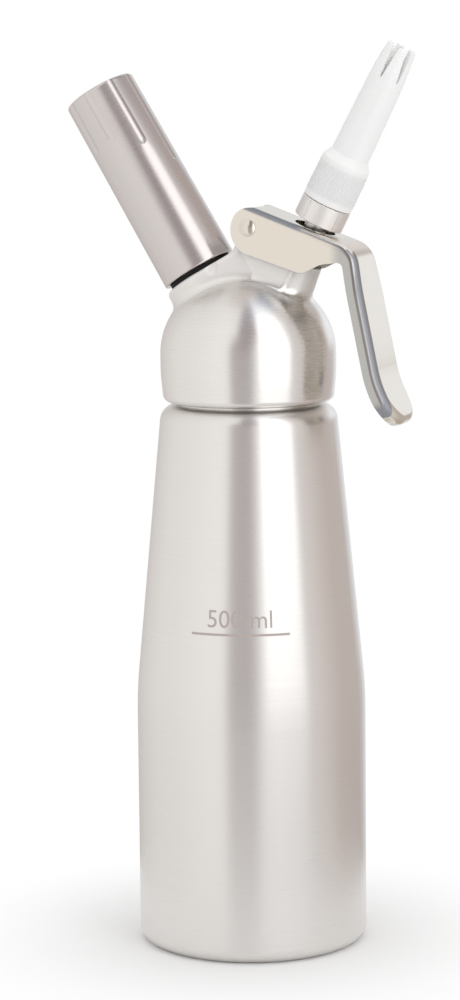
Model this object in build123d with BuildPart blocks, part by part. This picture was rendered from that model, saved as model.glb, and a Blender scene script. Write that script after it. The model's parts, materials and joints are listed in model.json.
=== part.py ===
from build123d import *
import os
from math import cos, pi, radians, sin, sqrt

# Cream whipper: a half-litre bottle, a screw-on head with two slanted bosses, a gas charger in a
# fluted holder on one boss, and a sprung dispensing valve under a pressed lever on the other.
# Millimetres, +Z up. The origin is the centre of the bottle's base. The charger leans towards -X,
# the lever and the decorating tip lie towards +X, and the whole is symmetric about the XZ plane.

# Fits
thread_clearance = 0.05
running_clearance = 0.05
press_clearance = 0.02
seat_clearance = 0.1

# Bottle
body_radius = 40.0
body_height = 89.0
body_blend = 150.0
base_round = 4.5
base_thickness = 3.0
dish_radius = 30.0
dish_depth = 1.5
bottle_wall = 1.5
inner_round = 6.0
cone_height = 100.4
shoulder_ledge = 5.8
shoulder_round = 6.0
inner_shoulder_round = 4.0
neck_radius = 24.5
neck_length = 13.8
neck_root_round = 1.5
neck_wall = 2.5
mouth_round = 0.6

# Head
head_gap = 1.0
rim_taper = 0.95
rim_round = 2.4
rim_flare = 9.6
head_wall = 5.85
flare_blend = 60.0
skirt_height = 16.6
crown_height = 27.5
gasket_thickness = 2.5
gasket_chamfer = 0.4
cavity_step = 3.0
cavity_depth = 7.5
cavity_round = 4.0
boss_blend = 4.0

# Charger side of the head
inlet_axis_drop = 1.3
inlet_tilt = 30.7
inlet_boss_margin = 0.6
inlet_boss_length = 32.6
inlet_boss_reach = 19.5
inlet_boss_round = 1.6
vent_radius = 3.6
vent_angle = -59.0
vent_rise = 3.1
vent_drop = 1.2
washer_thickness = 1.6
washer_rim = 1.6
thread_depth = 0.65
stud_length = 10.6
shank_radius = 6.5
shank_length = 17.4
stud_chamfer = 0.6
neck_seat_depth = 9.1
neck_bore_gap = 0.3
inlet_gasket_thickness = 1.5
pin_radius = 1.2
pin_hole_radius = 0.5
pin_flange_radius = 2.6
pin_flange_thickness = 0.9
pin_point = 2.6
check_bore_radius = 3.4
check_bore_depth = 13.6
check_port_radius = 0.9
poppet_length = 4.4
poppet_gap = 0.4
poppet_stem_radius = 1.3
poppet_stem_length = 2.4
retainer_length = 2.4
retainer_inset = 1.0
retainer_hole = 1.9
check_wire = 0.25
check_coil_radius = 2.2
check_turns = 4.5

# Gas charger and its holder
charger_radius = 8.9
charger_length = 65.5
charger_wall = 1.7
charger_neck_radius = 4.4
charger_neck_length = 9.6
charger_shoulder = 7.0
charger_cap_round = 0.5
charger_neck_round = 2.5
charger_shoulder_round = 5.0
charger_end_round = 6.5
pierced_gap = 0.3
holder_gap = 1.7
holder_wall = 3.35
holder_taper = 0.6
holder_end = 2.9
holder_bore_gap = 0.35
holder_floor_gap = 0.3
holder_mouth_depth = 11.5
holder_round = 1.0
holder_edge_round = 0.6
holder_floor_round = 2.0
flute_count = 9
flute_length = 31.2
flute_slant = 13.5
flute_slant_angle = 74.3
flute_radius = 4.2
flute_depth = 0.38
flute_start = 31.5

# Valve side of the head
valve_axis_drop = 5.1
valve_tilt = 27.1
outlet_boss_wall = 1.4
outlet_boss_taper = 1.4
outlet_boss_length = 42.3
outlet_boss_root = 30.0
valve_pocket_gap = 1.6
seat_level = 20.5
gallery_step = 0.75
gallery_length = 4.6
spring_pocket_gap = 0.75
spring_pocket_depth = 7.8
bracket_round = 2.5
bracket_reach = 2.8
bracket_wall = 1.6
heel_round = 5.0

# Dispensing valve
stem_radius = 4.0
plunger_step = 0.6
stem_neck_radius = 3.2
stem_bore_radius = 1.9
port_radius = 1.3
plunger_lag = 0.3
valve_disc_overlap = 1.6
valve_disc_thickness = 2.4
valve_seal_lip = 0.4
valve_seal_thickness = 1.5
oring_section = 0.65
oring_inset = 1.3
oring_pitch = 3.6
oring_squeeze = 0.02
groove_margin = 0.2
spring_wire = 0.6
spring_stem_gap = 0.65
spring_turns = 5.5
push_dome = 30.0
push_washer_overhang = 3.15
push_washer_height = 2.2
clip_shoulder = 1.2
clip_thickness = 0.8
clip_groove = 0.7
clip_mouth = 5.0

# Lever
pivot_x = 4.0
pivot_rise = 43.5
web_tilt = 20.5
web_rise = 7.0
sheet = 1.5
washer_side_gap = 0.75
handle_flare = 1.85
bend_round = 1.2
lever_back = 6.0
cheek_drop = 8.9
cheek_heel_flat = 0.9
cheek_nose_round = 6.2
cheek_toe_reach = 23.5
cheek_toe_drop = 7.6
cheek_toe_round = 5.0
cheek_waist_reach = 28.6
cheek_waist_drop = 2.3
cheek_waist_round = 6.0
flange_depth = 5.2
flange_start = 3.6
flange_root_round = 2.0
web_length = 38.0
handle_slope = 58.0
handle_length = 47.5
lip_slope = 38.5
handle_reach = 61.5
handle_end_flat = 3.0
elbow_round = 9.0
lip_round = 35.0
flare_start = 2.0
flare_length = 12.0
flare_round = 40.0
web_start = -1.5
stem_hole_gap = 2.0
pivot_radius = 2.9
pivot_head = 0.2
pivot_crown = 0.9
cheek_clearance = 0.3
lever_clearance = 0.1
ear_clearance = 0.6

# Tip adapter and decorating tip
collar_gap = 2.2
collar_radius = 8.7
collar_height = 7.4
collar_round = 0.4
collar_groove_count = 5
collar_groove_radius = 0.35
collar_groove_start = 33.1
spigot_radius = 6.8
spigot_length = 9.1
outlet_radius = 2.6
tip_seal_thickness = 1.2
tip_seal_bore = 4.6
tip_gap = 0.2
tip_overhang = 0.05
tip_base_taper = 0.2
tip_base_length = 15.0
tip_shoulder_length = 2.9
tip_step = 1.8
tip_waist_taper = 0.6
tip_mouth_taper = 1.05
tip_length = 58.2
tip_wall = 1.4
tip_edge_round = 0.3
tip_shoulder_round = 0.5
tip_foot_round = 1.2
tip_waist_round = 30.0
petal_count = 6
petal_length = 11.3
petal_slot_width = 2.6
petal_root_width = 0.6
petal_start = -7.0

# Worked-out sizes of the bottle and the head
shoulder_height = body_height + cone_height
neck_top = shoulder_height + neck_length
shoulder_radius = neck_radius + shoulder_ledge
mouth_radius = neck_radius - neck_wall
head_bore_radius = neck_radius + thread_clearance
head_radius = head_bore_radius + head_wall
rim_radius = head_radius - rim_taper
head_bottom = shoulder_height + head_gap
dome_base = head_bottom + skirt_height
ceiling = neck_top + gasket_thickness
cavity_radius = mouth_radius - cavity_step
inlet_axis_height = dome_base - inlet_axis_drop
valve_axis_height = dome_base - valve_axis_drop
pivot_height = dome_base + pivot_rise

# Worked-out radii about the charger axis
holder_bore_radius = charger_radius + holder_bore_gap
stud_radius = holder_bore_radius + thread_depth
holder_mouth_radius = stud_radius + thread_clearance
holder_base_radius = holder_mouth_radius + holder_wall
holder_top_radius = holder_base_radius - holder_taper
inlet_boss_radius = holder_base_radius + inlet_boss_margin
neck_bore_radius = charger_neck_radius + neck_bore_gap

# Worked-out radii about the valve axis
plunger_radius = stem_radius + plunger_step
plunger_bore_radius = plunger_radius + running_clearance
gallery_radius = plunger_bore_radius + gallery_step
valve_disc_radius = gallery_radius + valve_disc_overlap
valve_seal_radius = valve_disc_radius + valve_seal_lip
valve_pocket_radius = valve_seal_radius + valve_pocket_gap
spring_radius = stem_radius + spring_stem_gap + spring_wire
spring_pocket_radius = spring_radius + spring_wire + spring_pocket_gap
outlet_boss_radius = spring_pocket_radius + outlet_boss_wall
outlet_boss_base_radius = outlet_boss_radius + outlet_boss_taper
push_washer_radius = spring_radius + spring_wire + push_washer_overhang
clip_radius = stem_radius + clip_shoulder
stem_hole_radius = clip_radius + stem_hole_gap
tip_base_radius = collar_radius + tip_overhang
tip_base_top_radius = tip_base_radius - tip_base_taper
tip_shaft_radius = tip_base_top_radius - tip_step
tip_waist_radius = tip_shaft_radius - tip_waist_taper
tip_mouth_radius = tip_waist_radius - tip_mouth_taper

# Worked-out sizes of the lever
lever_width = 2 * (push_washer_radius + washer_side_gap + sheet)
handle_width = lever_width + 2 * handle_flare
handle_end_round = handle_width / 2 - handle_end_flat
lever_bend = sheet + bend_round
cheek_heel_round = web_rise + cheek_drop - cheek_nose_round - cheek_heel_flat
ear_radius = web_rise - sheet - ear_clearance
bracket_half_width = lever_width / 2 - sheet - cheek_clearance
pin_half_length = lever_width / 2 + pivot_head


def section_at(frame, angle):
    """A plane that holds a frame's Z as its own Y, turned about it by an angle from the frame's X."""
    across = frame.x_dir * cos(radians(angle)) + frame.y_dir * sin(radians(angle))
    normal = frame.x_dir * sin(radians(angle)) - frame.y_dir * cos(radians(angle))
    return Plane(frame.origin, x_dir=across, z_dir=normal)


# Frames: local Z runs up each slanted axis, and each section plane holds that axis as its own Y
inlet_frame = Plane(Location((0, 0, inlet_axis_height), (0, -inlet_tilt, 0)))
inlet_section = section_at(inlet_frame, 0)
inlet_axis = Axis(inlet_frame.origin, inlet_frame.z_dir)
valve_frame = Plane(Location((0, 0, valve_axis_height), (0, valve_tilt, 0)))
valve_section = section_at(valve_frame, 0)
valve_axis = Axis(valve_frame.origin, valve_frame.z_dir)
lever_section = Plane(
    (pivot_x, 0, pivot_height),
    x_dir=(cos(radians(web_tilt)), 0, -sin(radians(web_tilt))),
    z_dir=(0, -1, 0),
)
pin_section = Plane(lever_section.origin, x_dir=lever_section.x_dir, z_dir=lever_section.y_dir)
ON_TOP = (Align.CENTER, Align.CENTER, Align.MIN)

# Levels up the charger axis
stud_base = inlet_boss_length + washer_thickness
stud_top = stud_base + stud_length
gasket_base = stud_top - neck_seat_depth
pin_base = gasket_base - pin_flange_thickness
charger_base = gasket_base + inlet_gasket_thickness
charger_top = charger_base + charger_length
shank_end = inlet_boss_length - shank_length
check_top = shank_end + check_bore_depth
retainer_top = shank_end + retainer_inset + retainer_length
poppet_top = check_top - seat_clearance
poppet_base = poppet_top - poppet_length
holder_base = inlet_boss_length + holder_gap
holder_floor = charger_top + holder_floor_gap
holder_top = holder_floor + holder_end
heel_lean = (pivot_x - ear_radius) * sin(radians(inlet_tilt))
heel_rise = (inlet_boss_length + heel_lean) / cos(radians(inlet_tilt))
heel_height = inlet_axis_height + heel_rise

# Levels up the valve axis: the lever's web crosses it at a small angle, and the push washer's dome
# lies just under the web
web_angle = radians(valve_tilt - web_tilt)
pivot_over_valve = pivot_height - valve_axis_height
pivot_level = pivot_x * sin(radians(web_tilt)) + pivot_over_valve * cos(radians(web_tilt))
web_under_level = (web_rise - sheet + pivot_level) / cos(web_angle)
web_top_level = (web_rise + pivot_level) / cos(web_angle)
push_apex = web_under_level - push_dome * (1 / cos(web_angle) - 1) - lever_clearance
push_base = push_apex - push_washer_height
clip_base = push_apex - push_dome + sqrt(push_dome**2 - stem_radius**2)
pocket_base = (ceiling + cavity_depth / 2 - valve_axis_height) / cos(radians(valve_tilt))
spring_floor = outlet_boss_length - spring_pocket_depth
plunger_base = seat_level + gallery_length
seal_base = seat_level - valve_seal_thickness
stem_base = seal_base - valve_disc_thickness
plunger_foot = plunger_base + plunger_lag
plunger_top = spring_floor - plunger_lag
port_level = (seat_level + plunger_foot) / 2
oring_levels = [spring_floor - oring_inset - oring_pitch, spring_floor - oring_inset]
oring_groove_depth = 2 * oring_section - oring_squeeze + press_clearance
collar_base = web_top_level + collar_gap
collar_top = collar_base + collar_height
spigot_top = collar_top + spigot_length
tip_base = collar_top + tip_gap
tip_shoulder = tip_base + tip_base_length
seal_top = spigot_top + tip_seal_thickness
tip_top = tip_base + tip_length
petal_root = tip_top - petal_length

# The lever's sheet in its own section: the web runs along X over the pivot, then the handle and its
# turned-out lip go on from the elbow
slope = radians(handle_slope)
web_way = Vector(1, 0)
handle_way = Vector(cos(slope), -sin(slope))
lip_way = Vector(cos(radians(lip_slope)), -sin(radians(lip_slope)))
web_end = Vector(web_length, web_rise)
handle_end = web_end + handle_way * handle_length
handle_out = lever_section.x_dir * sin(slope) + lever_section.y_dir * cos(slope)
handle_face = Plane(lever_section.from_local_coords(web_end), x_dir=(0, 1, 0), z_dir=handle_out)


def on_section(section, across, along):
    """A point of a section plane as X and Z: across is square to the slanted axis, towards +X."""
    point = section.from_local_coords((across, along, 0))
    return (point.X, point.Z)


def push_dome_at(radius):
    """The level of the push washer's domed top at a radius."""
    return push_apex - push_dome + sqrt(push_dome**2 - radius**2)


def offset_corner(corner, direction_in, direction_out, distance):
    """The corner of a two-leg path moved inwards (to the right of travel) by one distance."""
    normal_in = Vector(direction_in.Y, -direction_in.X)
    normal_out = Vector(direction_out.Y, -direction_out.X)
    share = distance / (1 + normal_in.dot(normal_out))
    return corner + (normal_in + normal_out) * share


def coil_path(section_plane, mean_radius, low, high, turns):
    """A helix up a section plane's Y axis, as half-turn biarcs."""
    steps = round(turns * 2)
    rise = (high - low) / steps
    axis = section_plane.y_dir
    side = section_plane.z_dir * -1
    points = []
    tangents = []
    for i in range(steps + 1):
        angle = pi * i
        radial = section_plane.x_dir * cos(angle) + side * sin(angle)
        round_way = side * cos(angle) - section_plane.x_dir * sin(angle)
        points.append(section_plane.origin + axis * (low + rise * i) + radial * mean_radius)
        tangents.append((round_way * (pi * mean_radius) + axis * rise).normalized())
    arcs = []
    for start, end, leave, arrive in zip(points, points[1:], tangents, tangents[1:]):
        chord = end - start
        both = leave + arrive
        a = both.dot(both) - 4
        b = -2 * chord.dot(both)
        c = chord.dot(chord)
        reach = (-b - sqrt(b * b - 4 * a * c)) / (2 * a)
        control_a = start + leave * reach
        control_b = end - arrive * reach
        middle = (control_a + control_b) * 0.5
        arcs.append((start, middle, leave))
        arcs.append((middle, end, (control_b - control_a).normalized()))
    return arcs


def least_gap(path, turns, wire_radius):
    """The least clear distance between turns of a coil, measured on points along its path."""
    per_turn = 24
    points = [path @ (i / (turns * per_turn)) for i in range(round(turns * per_turn) + 1)]
    apart = per_turn // 2
    pairs = ((points[i], points[j]) for i in range(len(points)) for j in range(i + apart, len(points)))
    return min((a - b).length for a, b in pairs) - 2 * wire_radius


def sheet_form(inset):
    """The solid inside the lever's outer face moved in by an inset, far deeper than the lever."""
    web_corner = offset_corner(web_end, web_way, handle_way, inset)
    handle_corner = offset_corner(handle_end, handle_way, lip_way, inset)
    with BuildPart() as form:
        with BuildSketch(lever_section):
            with BuildLine():
                FilletPolyline(
                    (-handle_reach, web_rise - inset),
                    web_corner,
                    handle_corner,
                    handle_corner + lip_way * handle_reach,
                    (-handle_reach, -2 * handle_reach),
                    radius=[0, elbow_round - inset, lip_round + inset, 0, 0],
                    close=True,
                )
            make_face()
        extrude(amount=handle_width, both=True)
        with BuildSketch(handle_face):
            with BuildLine():
                FilletPolyline(
                    (0, handle_reach),
                    (lever_width / 2 - inset, handle_reach),
                    (lever_width / 2 - inset, -flare_start),
                    (handle_width / 2 - inset, -flare_start - flare_length),
                    (handle_width / 2 - inset, inset - handle_reach),
                    (0, inset - handle_reach),
                    radius=[0, flare_round, flare_round, handle_end_round - inset],
                )
                mirror(about=Plane.YZ)
            make_face()
        extrude(amount=2 * handle_reach, both=True, mode=Mode.INTERSECT)
        fillet(form.edges().filter_by(Axis(lever_section.origin, lever_section.x_dir)), lever_bend - inset)
    return form.part


with BuildPart() as bottle:
    with BuildSketch(Plane.XZ):
        with BuildLine():
            FilletPolyline(
                (0, 0),
                (body_radius, 0),
                (body_radius, body_height),
                (shoulder_radius, shoulder_height),
                (neck_radius, shoulder_height),
                (neck_radius, neck_top),
                (0, neck_top),
                radius=[base_round, body_blend, shoulder_round, 0, mouth_round],
            )
            Line((0, neck_top), (0, 0))
        make_face()
    revolve(axis=Axis.Z)
    with BuildSketch(Plane.XZ):
        with BuildLine():
            FilletPolyline(
                (0, base_thickness),
                (body_radius - bottle_wall, base_thickness),
                (body_radius - bottle_wall, body_height),
                (shoulder_radius - bottle_wall, shoulder_height - bottle_wall),
                (mouth_radius, shoulder_height - bottle_wall),
                (mouth_radius, neck_top),
                (0, neck_top),
                radius=[inner_round, body_blend, inner_shoulder_round, neck_root_round, 0],
            )
            Line((0, neck_top), (0, base_thickness))
        make_face()
    revolve(axis=Axis.Z, mode=Mode.SUBTRACT)
    with BuildSketch(Plane.XZ):
        with BuildLine():
            Line((0, 0), (dish_radius, 0))
            TangentArc((0, dish_depth), (dish_radius, 0), tangent=(1, 0))
            Line((0, dish_depth), (0, 0))
        make_face()
    revolve(axis=Axis.Z, mode=Mode.SUBTRACT)
bottle.part.label = "bottle"

with BuildPart() as bracket:
    with BuildSketch(Plane.XZ):
        with Locations((pivot_x, pivot_height)):
            Circle(ear_radius)
        with BuildLine():
            FilletPolyline(
                (pivot_x + ear_radius, pivot_height),
                (pivot_x - ear_radius, pivot_height),
                (pivot_x - ear_radius, heel_height),
                on_section(inlet_section, 0, inlet_boss_length),
                on_section(valve_section, bracket_reach, seat_level),
                on_section(valve_section, bracket_reach, outlet_boss_length),
                on_section(valve_section, -spring_pocket_radius - bracket_wall, outlet_boss_length),
                radius=[0, 0, heel_round, 0, 0, 0, 0],
                close=True,
            )
        make_face()
    extrude(amount=bracket_half_width, both=True)
    fillet(bracket.edges().filter_by(valve_axis), bracket_round)

with BuildPart() as inlet_boss:
    with BuildSketch(inlet_frame.offset(inlet_boss_length)):
        Circle(inlet_boss_radius)
        with Locations((inlet_boss_reach / 2, 0)):
            Rectangle(inlet_boss_reach, 2 * bracket_half_width)
        make_hull()
    extrude(amount=shank_end - inlet_boss_length)
    boss_rim = inlet_boss.faces().sort_by(inlet_axis)[-1].edges()
    boss_foot = inlet_boss.faces().sort_by(Axis(inlet_frame.origin, inlet_frame.x_dir))[-1].edges()
    fillet(boss_rim.filter_by(lambda edge: edge not in boss_foot), inlet_boss_round)

with BuildPart() as head:
    with BuildSketch(Plane.XZ):
        with BuildLine():
            FilletPolyline(
                (0, head_bottom),
                (rim_radius, head_bottom),
                (head_radius, head_bottom + rim_flare),
                (head_radius, dome_base),
                radius=[rim_round, flare_blend],
            )
            EllipticalCenterArc((0, dome_base), head_radius, crown_height, start_angle=0, arc_size=90)
            Line((0, dome_base + crown_height), (0, head_bottom))
        make_face()
    revolve(axis=Axis.Z)

    # The dome stops short of the inlet boss's flat face, however short the boss is
    with BuildSketch(inlet_frame.offset(inlet_boss_length)):
        Circle(inlet_boss_radius)
    extrude(amount=head_radius, mode=Mode.SUBTRACT)
    add(inlet_boss.part)
    with BuildSketch(valve_section):
        Polygon(
            (0, seat_level),
            (outlet_boss_base_radius, seat_level),
            (outlet_boss_base_radius, outlet_boss_root),
            (outlet_boss_radius, outlet_boss_length),
            (0, outlet_boss_length),
            align=None,
        )
    revolve(axis=valve_axis)
    add(bracket.part)

    # The bosses and the bracket run into the dome with one soft blend
    dome = head.faces().filter_by(GeomType.REVOLUTION).sort_by(Axis.Z)[-1]
    fillet(dome.edges().filter_by(GeomType.BSPLINE), boss_blend)

    # Neck thread, gasket seat and the hollow over the bottle's mouth
    with BuildSketch(Plane.XZ):
        with BuildLine():
            FilletPolyline(
                (0, head_bottom),
                (head_bore_radius, head_bottom),
                (head_bore_radius, ceiling),
                (cavity_radius, ceiling),
                (cavity_radius - cavity_depth, ceiling + cavity_depth),
                (0, ceiling + cavity_depth),
                radius=[0, 0, 0, cavity_round],
            )
            Line((0, ceiling + cavity_depth), (0, head_bottom))
        make_face()
    revolve(axis=Axis.Z, mode=Mode.SUBTRACT)

    # Valve pocket and seat, outlet gallery, plunger bore and spring pocket
    with BuildSketch(valve_section):
        Polygon(
            (0, pocket_base),
            (valve_pocket_radius, pocket_base),
            (valve_pocket_radius, seat_level),
            (gallery_radius, seat_level),
            (gallery_radius, plunger_base - gallery_step),
            (plunger_bore_radius, plunger_base),
            (plunger_bore_radius, spring_floor),
            (spring_pocket_radius, spring_floor),
            (spring_pocket_radius, outlet_boss_length),
            (0, outlet_boss_length),
            align=None,
        )
    revolve(axis=valve_axis, mode=Mode.SUBTRACT)

    # Bore of the inlet stud's shank, and the gas passage from it down to the hollow
    with BuildSketch(inlet_frame.offset(inlet_boss_length)):
        Circle(shank_radius + press_clearance)
    extrude(amount=-shank_length, mode=Mode.SUBTRACT)
    with BuildSketch(inlet_frame.offset(shank_end)):
        Circle(check_bore_radius)
    extrude(amount=-shank_end, mode=Mode.SUBTRACT)

    # Pivot bore, and the scoop in the inlet boss's rim that vents a loosened charger
    with BuildSketch(lever_section):
        Circle(pivot_radius + running_clearance)
    extrude(amount=lever_width, both=True, mode=Mode.SUBTRACT)
    with Locations(inlet_frame.offset(inlet_boss_length - vent_drop)):
        with PolarLocations(inlet_boss_radius + vent_rise, 1, start_angle=vent_angle):
            Sphere(vent_radius, mode=Mode.SUBTRACT)
head.part.label = "head"

with BuildPart() as head_gasket:
    with BuildSketch(Plane.XY.offset(neck_top)):
        Circle(neck_radius - running_clearance)
        Circle(cavity_radius, mode=Mode.SUBTRACT)
    extrude(amount=gasket_thickness)
    chamfer(head_gasket.edges().filter_by(GeomType.CIRCLE), gasket_chamfer)
head_gasket.part.label = "head_gasket"

with BuildPart() as stud_washer:
    with BuildSketch(inlet_frame.offset(inlet_boss_length)):
        Circle(stud_radius + washer_rim)
        Circle(shank_radius + press_clearance, mode=Mode.SUBTRACT)
    extrude(amount=washer_thickness)
stud_washer.part.label = "stud_washer"

with BuildPart() as inlet_stud:
    with BuildSketch(inlet_section):
        Polygon(
            (check_bore_radius, shank_end),
            (shank_radius, shank_end),
            (shank_radius, stud_base),
            (stud_radius, stud_base),
            (stud_radius, stud_top - stud_chamfer),
            (stud_radius - stud_chamfer, stud_top),
            (neck_bore_radius, stud_top),
            (neck_bore_radius, gasket_base),
            (pin_flange_radius + press_clearance, gasket_base),
            (pin_flange_radius + press_clearance, pin_base),
            (check_port_radius, pin_base),
            (check_port_radius, check_top),
            (check_bore_radius, check_top),
            align=None,
        )
    revolve(axis=inlet_axis)
inlet_stud.part.label = "inlet_stud"

with BuildPart() as piercing_pin:
    with BuildSketch(inlet_section):
        Polygon(
            (pin_hole_radius, pin_base),
            (pin_flange_radius, pin_base),
            (pin_flange_radius, gasket_base),
            (pin_radius, gasket_base),
            (pin_radius, charger_base),
            (pin_hole_radius, charger_base + pin_point),
            align=None,
        )
    revolve(axis=inlet_axis)
piercing_pin.part.label = "piercing_pin"

with BuildPart() as inlet_gasket:
    with BuildSketch(inlet_frame.offset(gasket_base)):
        Circle(neck_bore_radius - running_clearance)
        Circle(pin_radius + running_clearance, mode=Mode.SUBTRACT)
    extrude(amount=inlet_gasket_thickness)
inlet_gasket.part.label = "inlet_gasket"

with BuildPart() as check_retainer:
    with BuildSketch(inlet_frame.offset(retainer_top)):
        Circle(check_bore_radius - press_clearance)
        Circle(retainer_hole, mode=Mode.SUBTRACT)
    extrude(amount=-retainer_length)
check_retainer.part.label = "check_retainer"

with BuildPart() as check_poppet:
    with BuildSketch(inlet_frame.offset(poppet_base)):
        Circle(check_bore_radius - poppet_gap)
    extrude(amount=poppet_length)
    with BuildSketch(inlet_frame.offset(poppet_base)):
        Circle(poppet_stem_radius)
    extrude(amount=-poppet_stem_length)
check_poppet.part.label = "check_poppet"

with BuildPart() as gas_charger:
    with BuildSketch(inlet_section):
        with BuildLine():
            FilletPolyline(
                (0, charger_base),
                (charger_neck_radius, charger_base),
                (charger_neck_radius, charger_base + charger_neck_length),
                (charger_radius, charger_base + charger_neck_length + charger_shoulder),
                (charger_radius, charger_top),
                (0, charger_top),
                radius=[charger_cap_round, charger_neck_round, charger_shoulder_round, charger_end_round],
            )
            Line((0, charger_top), (0, charger_base))
        make_face()
    revolve(axis=inlet_axis)
    with BuildSketch(inlet_section):
        with BuildLine():
            FilletPolyline(
                (0, charger_base + charger_wall),
                (charger_neck_radius - charger_wall, charger_base + charger_wall),
                (charger_neck_radius - charger_wall, charger_base + charger_neck_length),
                (charger_radius - charger_wall, charger_base + charger_neck_length + charger_shoulder),
                (charger_radius - charger_wall, charger_top - charger_wall),
                (0, charger_top - charger_wall),
                radius=[0, charger_neck_round, charger_shoulder_round, charger_end_round - charger_wall],
            )
            Line((0, charger_top - charger_wall), (0, charger_base + charger_wall))
        make_face()
    revolve(axis=inlet_axis, mode=Mode.SUBTRACT)
    with BuildSketch(inlet_frame.offset(charger_base)):
        Circle(pin_radius + pierced_gap)
    extrude(amount=charger_wall, mode=Mode.SUBTRACT)
gas_charger.part.label = "gas_charger"

with BuildPart() as charger_holder:
    with BuildSketch(inlet_section):
        with BuildLine():
            FilletPolyline(
                (0, holder_top),
                (holder_top_radius, holder_top),
                (holder_base_radius, holder_base),
                (holder_mouth_radius, holder_base),
                (holder_mouth_radius, holder_base + holder_mouth_depth),
                (holder_bore_radius, holder_base + holder_mouth_depth),
                (holder_bore_radius, holder_floor),
                (0, holder_floor),
                radius=[holder_round, holder_edge_round, 0, 0, 0, holder_floor_round],
            )
            Line((0, holder_floor), (0, holder_top))
        make_face()
    revolve(axis=inlet_axis)

    # Shallow flutes run down from the top along the taper, and their round ends lie on a slanted ring
    flute_lift = flute_radius - flute_depth
    for flute in range(flute_count):
        angle = flute_start + flute * 360 / flute_count
        reach = flute_length + flute_slant * cos(radians(angle - flute_slant_angle))
        high_radius = holder_top_radius + flute_lift
        low_radius = high_radius + holder_taper * reach / (holder_top - holder_base)
        flute_section = section_at(inlet_frame, angle)
        high = flute_section.from_local_coords((high_radius, holder_top, 0))
        low = flute_section.from_local_coords((low_radius, holder_top - reach, 0))
        with BuildSketch(Plane(low, z_dir=high - low)):
            Circle(flute_radius)
        extrude(amount=(high - low).length, mode=Mode.SUBTRACT)
        with Locations(low):
            Sphere(flute_radius, mode=Mode.SUBTRACT)
charger_holder.part.label = "charger_holder"

with BuildPart() as valve_stem:
    with BuildSketch(valve_section):
        Polygon(
            (0, stem_base),
            (valve_disc_radius, stem_base),
            (valve_disc_radius, seal_base),
            (stem_neck_radius, seal_base),
            (stem_neck_radius, plunger_foot),
            (plunger_radius, plunger_foot),
            (plunger_radius, plunger_top),
            (stem_radius, plunger_top + plunger_radius - stem_radius),
            (stem_radius, collar_top),
            (0, collar_top),
            align=None,
        )
    revolve(axis=valve_axis)
    with BuildSketch(valve_section):
        for level in oring_levels:
            with Locations((plunger_radius, level)):
                Rectangle(2 * oring_groove_depth, 2 * (oring_section + groove_margin))
        with Locations((stem_radius, clip_base + clip_thickness / 2)):
            Rectangle(2 * clip_groove, clip_thickness + 2 * press_clearance)
    revolve(axis=valve_axis, mode=Mode.SUBTRACT)
    with BuildSketch(valve_frame.offset(port_level)):
        Circle(stem_bore_radius)
    extrude(amount=collar_top - port_level, mode=Mode.SUBTRACT)
    for angle in (0, 90):
        with BuildSketch(section_at(valve_frame, angle)):
            with Locations((0, port_level)):
                Circle(port_radius)
        extrude(amount=plunger_radius, both=True, mode=Mode.SUBTRACT)
valve_stem.part.label = "valve_stem"

with BuildPart() as valve_seal:
    with BuildSketch(valve_frame.offset(seal_base)):
        Circle(valve_seal_radius)
        Circle(stem_neck_radius + press_clearance, mode=Mode.SUBTRACT)
    extrude(amount=valve_seal_thickness)
valve_seal.part.label = "valve_seal"

with BuildPart() as stem_orings:
    for level in oring_levels:
        with BuildSketch(valve_section):
            with Locations((plunger_radius + oring_squeeze - oring_section, level)):
                Circle(oring_section)
        revolve(axis=valve_axis)
stem_orings.part.label = "stem_orings"

with BuildPart() as push_washer:
    with BuildSketch(valve_section):
        with BuildLine():
            Polyline(
                (stem_radius + running_clearance, push_dome_at(stem_radius + running_clearance)),
                (stem_radius + running_clearance, push_base),
                (push_washer_radius, push_base),
                (push_washer_radius, push_dome_at(push_washer_radius)),
            )
            RadiusArc(
                (push_washer_radius, push_dome_at(push_washer_radius)),
                (stem_radius + running_clearance, push_dome_at(stem_radius + running_clearance)),
                -push_dome,
            )
        make_face()
    revolve(axis=valve_axis)
push_washer.part.label = "push_washer"

with BuildPart() as push_clip:
    with BuildSketch(valve_frame.offset(clip_base)):
        Circle(clip_radius)
        Circle(stem_radius - clip_groove + press_clearance, mode=Mode.SUBTRACT)
        with Locations((-clip_radius, 0)):
            Rectangle(2 * clip_radius, clip_mouth, mode=Mode.SUBTRACT)
    extrude(amount=clip_thickness)
push_clip.part.label = "push_clip"

spring_low = spring_floor + spring_wire
spring_high = push_base - spring_wire
spring_arcs = coil_path(valve_section, spring_radius, spring_low, spring_high, spring_turns)
with BuildPart() as valve_spring:
    with BuildLine() as spring_path:
        for start, end, way in spring_arcs:
            TangentArc(start, end, tangent=way)
    with BuildSketch(Plane(spring_path.line @ 0, z_dir=spring_path.line % 0)):
        Circle(spring_wire)
    sweep(path=spring_path.line)
valve_spring.part.label = "valve_spring"

check_low = retainer_top + check_wire
check_high = poppet_base - check_wire
check_arcs = coil_path(inlet_section, check_coil_radius, check_low, check_high, check_turns)
with BuildPart() as check_spring:
    with BuildLine() as check_path:
        for start, end, way in check_arcs:
            TangentArc(start, end, tangent=way)
    with BuildSketch(Plane(check_path.line @ 0, z_dir=check_path.line % 0)):
        Circle(check_wire)
    sweep(path=check_path.line)
check_spring.part.label = "check_spring"

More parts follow.
